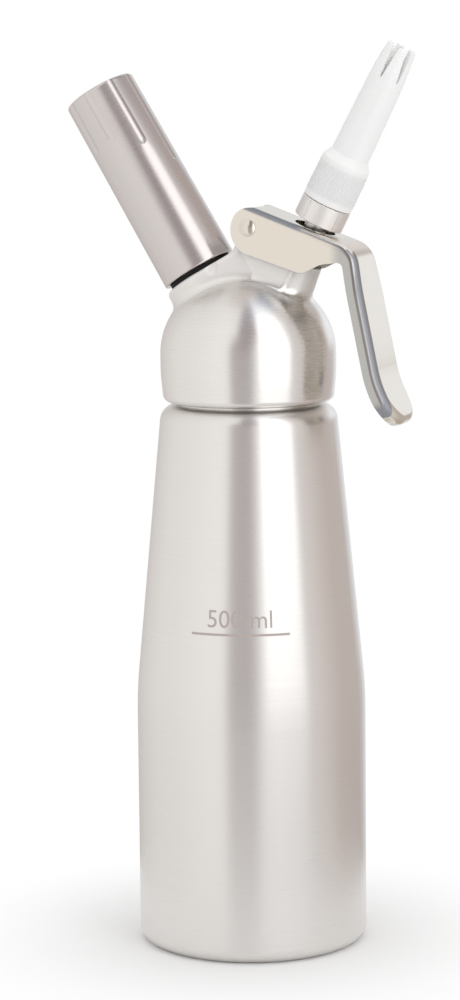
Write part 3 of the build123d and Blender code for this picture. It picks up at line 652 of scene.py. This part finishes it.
def rib_tree():
    """Fine ribs that stand round a slightly tapered foot."""
    made = Tree("Grip ribs", Count=60, Foot=0.0087, Head=0.0085, Low=0.0, High=0.012, Width=0.0005)
    start = made.add("ShaderNodeCombineXYZ", X=made.given("Foot"), Z=made.given("Low"))
    stop = made.add("ShaderNodeCombineXYZ", X=made.given("Head"), Z=made.given("High"))
    line = made.add(
        "GeometryNodeCurvePrimitiveLine", Start=start.outputs["Vector"], End=stop.outputs["Vector"]
    )
    steps = made.add("GeometryNodeResampleCurve", Curve=line.outputs["Curve"], Count=9)
    thin = 0.2
    along = made.along()
    grow = made.ramp(along, 0.0, 0.12, thin, 1.0)
    fade = made.ramp(along, 0.88, 1.0, 1.0, thin)
    rib = made.swept(
        steps.outputs["Curve"],
        made.disc(steps=8, width=made.given("Width")),
        Scale=made.maths("MINIMUM", grow, fade),
    )
    seats = made.add("GeometryNodeMeshLine", Count=made.given("Count"), Offset=(0.0, 0.0, 0.0))
    number = made.add("GeometryNodeInputIndex").outputs["Index"]
    step = made.maths("DIVIDE", 2 * pi, made.given("Count"))
    turn = made.add(
        "FunctionNodeAxisAngleToRotation",
        Axis=(0.0, 0.0, 1.0),
        Angle=made.maths("MULTIPLY", number, step),
    )
    ring = made.add(
        "GeometryNodeInstanceOnPoints",
        Points=seats.outputs["Mesh"],
        Instance=rib,
        Rotation=turn.outputs["Rotation"],
    )
    return made.end(ring.outputs["Instances"])


# Pieces

def plain_mesh(piece):
    """An object's mesh with its modifiers or its text turned into faces."""
    depsgraph = bpy.context.evaluated_depsgraph_get()
    return bpy.data.meshes.new_from_object(piece.evaluated_get(depsgraph), depsgraph=depsgraph)


def linked(name, data):
    """A new object in the scene."""
    piece = bpy.data.objects.new(name, data)
    bpy.context.scene.collection.objects.link(piece)
    return piece


def grown(name, tree, material, place, **values):
    """A piece made by a geometry node tree round +Z, as a plain mesh in its place."""
    seed = linked(name + "_seed", bpy.data.meshes.new(name + "_seed"))
    modifier = seed.modifiers.new(name, "NODES")
    modifier.node_group = tree
    sockets = {item.name: item.identifier for item in tree.interface.items_tree if item.in_out == "INPUT"}
    for title, value in values.items():
        modifier[sockets[title]] = value
    modifier[sockets["Material"]] = material
    mesh = plain_mesh(seed)
    bpy.data.objects.remove(seed)
    mesh.transform(place)
    mesh.name = name
    return linked(name, mesh)


def set_down(name, shape, material):
    """A bmesh as a piece at the origin, with one material."""
    mesh = bpy.data.meshes.new(name)
    shape.to_mesh(mesh)
    shape.free()
    mesh.materials.append(material)
    return linked(name, mesh)


def smooth_by_angle(piece, angle):
    """Smooth shading that stays sharp over edges bent by more than an angle."""
    piece.data.shade_smooth()
    piece.data.set_sharp_from_angle(angle=angle)


# Operators: one for each group of like pieces, and one for the stage

class WHIPPER_OT_aluminium(Operator):
    """Give the bottle, the head and the charger holder their brushed satin"""

    bl_idname = "whipper.aluminium"
    bl_label = "Brush the aluminium"

    def execute(self, context):
        colours = context.scene.whipper_colours
        bottle = brushed_aluminium("bottle satin", colours.bottle, upright, roughness=0.30, anisotropy=0.75)
        finish(bottle, "bottle")
        head = brushed_aluminium("head satin", colours.head, upright, roughness=0.27, anisotropy=0.75)
        blasted(head, middle=(0, 0, 0.2070), radii=(0.0304, 0.0304, 0.0275), rougher=0.25, duller=0.7)
        finish(head, "head")
        holder = brushed_aluminium("holder satin", colours.holder, charger_line, roughness=0.25)
        finish(holder, "charger_holder")
        return {"FINISHED"}


class WHIPPER_OT_plate(Operator):
    """Plate the lever, the tip adapter and the brass pieces"""

    bl_idname = "whipper.plate"
    bl_label = "Plate the lever and brass"

    def execute(self, context):
        colours = context.scene.whipper_colours
        lever = bright_plate("lever nickel", colours.nickel, roughness=0.14)
        shade_painted(lever, colours.bend, colours.flange_painted_shade, colours.inner)
        finish(lever, "lever")
        finish(bright_plate("adapter nickel", colours.adapter, roughness=0.48), "tip_adapter")
        brass = bright_plate("brass plate", colours.adapter, roughness=0.25)
        finish(brass, "inlet_stud", "check_retainer")
        return {"FINISHED"}


class WHIPPER_OT_steel(Operator):
    """Turn the steel pieces: pins, stem, washer, clip and the charger"""

    bl_idname = "whipper.steel"
    bl_label = "Turn the steel"

    def execute(self, context):
        colours = context.scene.whipper_colours
        finish(bright_plate("pin steel", colours.nickel, roughness=0.12), "pivot_pin")
        finish(turned_steel("stem steel", colours.steel, valve_line, roughness=0.28), "valve_stem")
        oxide = turned_steel("black oxide", colours.oxide, valve_line, roughness=0.45)
        finish(oxide, "push_washer", "push_clip")
        charger = turned_steel("charger steel", colours.steel, charger_line, roughness=0.25)
        finish(charger, "gas_charger", "piercing_pin")
        return {"FINISHED"}


class WHIPPER_OT_seals(Operator):
    """Make the gaskets, seals and the check valve's poppet of rubber; the washer under the charger holder
    is black rubber that also paints the shade in the gap there
    """

    bl_idname = "whipper.seals"
    bl_label = "Rubber seals"

    def execute(self, context):
        rubber = seal_rubber("black rubber", context.scene.whipper_colours.rubber)
        # Painted shade, partly real: the stud washer's black rubber fills the gap under the charger holder,
        # where the dark is mostly shade
        finish(rubber, "head_gasket", "inlet_gasket", "stud_washer", "valve_seal")
        finish(rubber, "stem_orings", "tip_seal", "check_poppet")
        return {"FINISHED"}


class WHIPPER_OT_tip(Operator):
    """Mould the decorating tip and set the ribs of its grip"""

    bl_idname = "whipper.tip"
    bl_label = "Mould the tip"

    def execute(self, context):
        sizes = context.scene.whipper_screws
        plastic = moulded_plastic("tip plastic", context.scene.whipper_colours.plastic)
        finish(plastic, "decorating_tip")
        points = points_on("decorating_tip", valve_line)
        base = levels(points)[0]
        low = base + 0.0013
        high = base + 0.0142
        over = high + 0.0015
        sunk = 0.00012
        ribs = grown(
            "tip_grip_ribs",
            rib_tree(),
            plastic,
            valve_line,
            Count=sizes.rib_count,
            Foot=reach(points, base, low) - sunk,
            Head=reach(points, high, over) - sunk,
            Low=low,
            High=high,
            Width=sizes.rib_width,
        )
        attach(ribs, "tip")
        return {"FINISHED"}


class WHIPPER_OT_threads(Operator):
    """Wind the ridges of the three screw threads"""

    bl_idname = "whipper.threads"
    bl_label = "Wind the threads"

    def execute(self, context):
        sizes = context.scene.whipper_screws
        tree = ridge_tree()
        screws = (
            ("neck", "bottle", "bottle", "bottle_aluminium", upright, 0.0112),
            ("stud", "inlet_stud", "head", "plated_brass", charger_line, 0.0098),
            ("spigot", "tip_adapter", "valve", "adapter_nickel", valve_line, 0.0084),
        )
        for name, node, body, slot, place, length in screws:
            pitch = getattr(sizes, f"{name}_pitch")
            ridge = getattr(sizes, f"{name}_ridge")
            thread = self.wind(f"{name}_thread", tree, node, place, pitch, ridge, length)
            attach(thread, body)
        return {"FINISHED"}

    def wind(self, name, tree, node, place, pitch, ridge, length):
        """Winds one ridge over a length at the top of a CAD node."""
        points = points_on(node, place)
        top = levels(points)[1]
        clear = 0.0012
        thread = grown(
            name,
            tree,
            frame["nodes"][node].data.materials[0],
            place @ Matrix.Translation((0, 0, top - length + clear)),
            Radius=reach(points, top - 0.5 * length, top),
            Pitch=pitch,
            Turns=(length - 2 * clear) / pitch,
            Ridge=ridge,
            Sink=0.5 * ridge,
        )
        smooth_by_angle(thread, radians(40))
        return thread


class WHIPPER_OT_springs(Operator):
    """Coil the valve's spring and the check valve's spring"""

    bl_idname = "whipper.springs"
    bl_label = "Coil the springs"

    def execute(self, context):
        colour = context.scene.whipper_colours.steel
        tree = spring_tree()
        self.coil(tree, "valve_spring", "valve_press", valve_line, colour, wire=0.0012, turns=7.0)
        self.coil(tree, "check_spring", "check_lift", charger_line, colour, wire=0.0005, turns=6.0)
        return {"FINISHED"}

    def coil(self, tree, node, joint, place, colour, wire, turns):
        """Coils one spring in the room of its CAD solid, from its fixed end."""
        name = f"{node}_wire"
        points = points_on(node, place)
        low, high = levels(points)
        radius = reach(points, low, high) - wire / 2
        steel = turned_steel(name.replace("_", " "), colour, place, roughness=0.22)
        start = place @ Matrix.Translation((0, 0, low))
        spring = grown(name, tree, steel, start, Radius=radius, Wire=wire, Turns=turns, Height=high - low)
        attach(spring, "head")
        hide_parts(node)
        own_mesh(spring)


class WHIPPER_OT_fill_mark(Operator):
    """Etch the fill line and its plain figure on the front of the bottle"""

    bl_idname = "whipper.fill_mark"
    bl_label = "Etch the fill mark"

    def execute(self, context):
        sizes = context.scene.whipper_mark
        skin = etched_skin("etched skin", context.scene.whipper_colours.mark)
        flat = self.figure(sizes)
        self.line(flat, sizes)
        self.wrap(flat, sizes)
        mark = set_down("fill_mark", flat, skin)
        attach(mark, "bottle")
        return {"FINISHED"}

    def figure(self, sizes):
        """The figure as flat faces over the line."""
        text = bpy.data.curves.new("figure", "FONT")
        text.body = sizes.figure
        text.size = sizes.figure_size
        text.align_x = "CENTER"
        text.offset_y = sizes.figure_gap
        text.resolution_u = 4
        holder = linked("figure", text)
        mesh = plain_mesh(holder)
        bpy.data.objects.remove(holder)
        flat = bmesh.new()
        flat.from_mesh(mesh)
        bmesh.ops.remove_doubles(flat, verts=flat.verts, dist=1e-6)
        return flat

    def line(self, flat, sizes):
        """Adds the fill line under the figure."""
        half = sizes.line_length / 2
        thick = sizes.line_width / 2
        corners = [(-half, -thick, 0), (half, -thick, 0), (half, thick, 0), (-half, thick, 0)]
        flat.faces.new([flat.verts.new(corner) for corner in corners])

    def wrap(self, flat, sizes):
        """Cuts the flat faces into strips, lays them on the bottle and gives them a thin closed skin."""
        strip = 0.0008
        count = round(sizes.line_length / strip)
        for number in range(1, count):
            across = sizes.line_length * (number / count - 0.5)
            everything = flat.verts[:] + flat.edges[:] + flat.faces[:]
            bmesh.ops.bisect_plane(flat, geom=everything, plane_co=(across, 0, 0), plane_no=(1, 0, 0))
        metal = BVHTree.FromObject(frame["nodes"]["bottle"], bpy.context.evaluated_depsgraph_get())
        radius = reach(points_on("bottle", upright), 0, 1)
        radius_here = 0.95 * radius
        for vertex in flat.verts:
            angle = sizes.bearing + vertex.co.x / radius_here
            outward = Vector((sin(angle), -cos(angle), 0))
            start = outward * 2 * radius + Vector((0, 0, sizes.height + vertex.co.y))
            vertex.co = metal.ray_cast(start, -outward)[0] - outward * sizes.depth
        raised = bmesh.ops.extrude_face_region(flat, geom=flat.faces[:], use_keep_orig=True)
        for item in raised["geom"]:
            if isinstance(item, bmesh.types.BMVert):
                item.co += Vector((item.co.x, item.co.y, 0)).normalized() * 2 * sizes.depth
        bmesh.ops.recalc_face_normals(flat, faces=flat.faces)


# The studio's panels from the back round by the left: bearing from the front in degrees, and colour

PANELS = (
    (-180, (0.86, 0.88, 0.90)),
    (-160, (0.84, 0.85, 0.86)),
    (-140, (0.64, 0.61, 0.59)),
    (-112, (0.80, 0.78, 0.76)),
    (-86, (0.91, 0.90, 0.88)),
    (-60, (0.94, 0.93, 0.92)),
    (-24, (1.02, 1.01, 0.99)),
    (-8, (1.04, 1.03, 1.01)),
    (40, (0.89, 0.89, 0.89)),
    (72, (0.82, 0.81, 0.81)),
    (92, (0.76, 0.71, 0.69)),
    (118, (0.63, 0.56, 0.53)),
    (160, (0.58, 0.53, 0.51)),
    (170, (0.84, 0.86, 0.88)),
    (180, (0.86, 0.88, 0.90)),
)


class WHIPPER_OT_studio(Operator):
    """Set up the floor, the studio's panels, the lamps and the camera"""

    bl_idname = "whipper.studio"
    bl_label = "Set up the studio"

    def execute(self, context):
        scene = context.scene
        sizes = scene.whipper_studio
        scene.view_settings.view_transform = "Standard"
        scene.world = self.world(sizes)
        self.floor(sizes)
        self.tent(sizes)
        self.soft_box("key_box", place=(0.93, -0.60, 0.80), size=(0.60, 1.60), watts=sizes.key_watts)
        self.soft_box("top_box", place=(0.0, 0.1, 2.2), size=(1.6, 1.6), watts=sizes.top_watts)
        scene.camera = self.camera(sizes)
        return {"FINISHED"}

    def seen(self, tree):
        """One for what the camera, gloss or glass sees, and nought for other light."""
        path = tree.nodes.new("ShaderNodeLightPath")
        gloss = maths(tree, "MAXIMUM", path.outputs["Is Glossy Ray"], path.outputs["Is Transmission Ray"])
        return maths(tree, "MAXIMUM", path.outputs["Is Camera Ray"], gloss)

    def world(self, sizes):
        """A white background that lights matt surfaces evenly."""
        world = bpy.data.worlds.new("studio")
        world.use_nodes = True
        tree = world.node_tree
        strength = ramp(tree, self.seen(tree), 0.0, 1.0, sizes.ambient, 1.0)
        give(tree, tree.nodes["Background"], Color=(1, 1, 1, 1), Strength=strength)
        return world

    def floor(self, sizes):
        """A round pale floor that fades to white away from the bottle."""
        material, tree, shader = new_material(
            "pale floor", Base_Color=(0.93, 0.93, 0.93, 1), Roughness=0.9, Specular_IOR_Level=0.0
        )
        fade_from = 0.042
        away = new_node(tree, "ShaderNodeVectorMath", {"operation": "LENGTH"}, Vector=object_place(tree))
        fade = eased(tree, away.outputs["Value"], fade_from, sizes.floor_radius)
        path = tree.nodes.new("ShaderNodeLightPath")
        white = tree.nodes.new("ShaderNodeEmission")
        mix = new_node(
            tree, "ShaderNodeMixShader", Fac=maths(tree, "MULTIPLY", fade, path.outputs["Is Camera Ray"])
        )
        fill(tree, mix.inputs[1], shader.outputs["BSDF"])
        fill(tree, mix.inputs[2], white.outputs["Emission"])
        give(tree, tree.nodes["Material Output"], Surface=mix.outputs["Shader"])
        disc = bmesh.new()
        bmesh.ops.create_circle(disc, cap_ends=True, segments=96, radius=sizes.floor_radius)
        floor = set_down("floor", disc, material)

    def tent(self, sizes):
        """A tent of studio panels that only polished metal sees."""
        middle = Vector((0, 0, sizes.tent_height))
        ball = bmesh.new()
        bmesh.ops.create_uvsphere(
            ball,
            u_segments=96,
            v_segments=48,
            radius=sizes.tent_radius,
            matrix=Matrix.Translation(middle),
        )
        tent = set_down("studio_panels", ball, self.panels(sizes, middle))
        tent.visible_camera = False
        tent.visible_diffuse = False
        tent.visible_shadow = False

    def panels(self, sizes, middle):
        """The panels' glow by bearing and height: white, with a flag, a tall light and a darker roof."""
        material, tree, shader = new_material("studio panels")
        tree.nodes.remove(shader)
        centred = new_node(tree, "ShaderNodeMapping", Vector=object_place(tree), Location=-middle)
        direction = new_node(
            tree, "ShaderNodeVectorMath", {"operation": "NORMALIZE"}, Vector=centred.outputs["Vector"]
        )
        parts = new_node(tree, "ShaderNodeSeparateXYZ", Vector=direction.outputs["Vector"])
        x, y, z = (parts.outputs[name] for name in "XYZ")
        height = maths(tree, "ARCSINE", z)
        bearing = maths(tree, "ARCTAN2", x, maths(tree, "MULTIPLY", y, -1.0))

        around = maths(tree, "ADD", maths(tree, "DIVIDE", bearing, 2 * pi), 0.5)
        ring = new_node(tree, "ShaderNodeValToRGB", Fac=around)
        elements = ring.color_ramp.elements
        for number, (angle, colour) in enumerate(PANELS):
            place = angle / 360 + 0.5
            element = elements[number] if number < 2 else elements.new(place)
            element.position = place
            element.color = coloured(colour)

        # The flag leans away from the camera and gets denser with height
        lean = eased(tree, height, radians(16), radians(32), radians(11), radians(20))
        flag = window(tree, bearing, lean, radians(9), radians(11))
        low_share = eased(tree, height, radians(-44), radians(-26), 0.18, 0.72)
        high_share = eased(tree, height, radians(2), radians(20), 1.0, 1.30)
        flag = maths(tree, "MULTIPLY", maths(tree, "MULTIPLY", flag, low_share), high_share)

        rear_bearing = window(tree, bearing, radians(159), radians(10), radians(6))
        rear_height = window(tree, height, radians(9.5), radians(6), radians(5))
        rear = maths(tree, "MULTIPLY", rear_bearing, rear_height)
        overhead = eased(tree, z, 0.93, 0.99)
        dusk = maths(tree, "MULTIPLY", eased(tree, z, 0.80, 0.95), eased(tree, x, 0.02, 0.12))
        glow = mixed(tree, flag, ring.outputs["Color"], sizes.flag)
        glow = mixed(tree, rear, glow, sizes.rear)
        glow = mixed(tree, overhead, glow, sizes.ceiling)
        glow = mixed(tree, dusk, glow, sizes.dusk)
        dim_below = eased(tree, height, radians(-42), radians(-22), 0.90, 1.0)
        panel = new_node(tree, "ShaderNodeEmission", Color=glow, Strength=dim_below)

        strip = window(tree, bearing, sizes.strip_bearing, sizes.strip_half, radians(6))
        strip = maths(tree, "MULTIPLY", strip, sizes.strip_glow)
        fade_below = eased(tree, height, radians(-35), radians(-2))
        light = new_node(tree, "ShaderNodeEmission", Strength=maths(tree, "MULTIPLY", strip, fade_below))
        both = tree.nodes.new("ShaderNodeAddShader")
        fill(tree, both.inputs[0], panel.outputs["Emission"])
        fill(tree, both.inputs[1], light.outputs["Emission"])
        give(tree, tree.nodes["Material Output"], Surface=both.outputs["Shader"])
        return material

    def soft_box(self, name, place, size, watts):
        """A rectangular soft box that faces the bottle."""
        lamp = bpy.data.lights.new(name, "AREA")
        lamp.shape = "RECTANGLE"
        lamp.size, lamp.size_y = size
        lamp.energy = watts
        box = linked(name, lamp)
        box.location = place
        highest_aim = 0.8
        aim = Vector((0, 0, min(place[2], highest_aim))) - Vector(place)
        box.rotation_euler = aim.to_track_quat("-Z", "Y").to_euler()
        box.visible_glossy = False

    def camera(self, sizes):
        """The camera at the photograph's viewing angle."""
        bearing, dip, roll = sizes.camera_bearing, sizes.camera_dip, sizes.camera_roll
        right = Vector((cos(bearing), sin(bearing), 0))
        ahead = Vector((-sin(bearing) * cos(dip), cos(bearing) * cos(dip), -sin(dip)))
        above = right.cross(ahead)
        rolled_right = right * cos(roll) + above * sin(roll)
        rolled_above = above * cos(roll) - right * sin(roll)
        lens = bpy.data.cameras.new("camera")
        lens.lens = sizes.lens
        camera = linked("camera", lens)
        turn = Matrix((rolled_right, rolled_above, -ahead)).transposed().to_4x4()
        camera.matrix_world = Matrix.Translation(sizes.camera_place) @ turn
        return camera


OPERATORS = (
    WHIPPER_OT_aluminium,
    WHIPPER_OT_plate,
    WHIPPER_OT_steel,
    WHIPPER_OT_seals,
    WHIPPER_OT_tip,
    WHIPPER_OT_threads,
    WHIPPER_OT_springs,
    WHIPPER_OT_fill_mark,
    WHIPPER_OT_studio,
)
SETTINGS = {
    "whipper_screws": ScrewSizes,
    "whipper_mark": MarkSizes,
    "whipper_colours": FinishColours,
    "whipper_studio": StudioSizes,
}


class WHIPPER_PT_panel(Panel):
    """The whipper's sizes, colours and steps"""

    bl_idname = "WHIPPER_PT_panel"
    bl_label = "Cream Whipper"
    bl_space_type = "VIEW_3D"
    bl_region_type = "UI"
    bl_category = "Whipper"

    def draw(self, context):
        for name, group in SETTINGS.items():
            box = self.layout.box()
            box.label(text=group.__doc__)
            for title in group.__annotations__:
                box.prop(getattr(context.scene, name), title)
        for operator in OPERATORS:
            self.layout.operator(operator.bl_idname)


def register():
    for group in (*SETTINGS.values(), *OPERATORS, WHIPPER_PT_panel):
        bpy.utils.register_class(group)
    for name, group in SETTINGS.items():
        setattr(bpy.types.Scene, name, PointerProperty(type=group))


def unregister():
    for name in SETTINGS:
        delattr(bpy.types.Scene, name)
    for group in (WHIPPER_PT_panel, *reversed(OPERATORS), *SETTINGS.values()):
        bpy.utils.unregister_class(group)


def main():
    register()
    for operator in OPERATORS:
        group, step = operator.bl_idname.split(".")
        getattr(getattr(bpy.ops, group), step)()


if __name__ == "__main__":
    main()
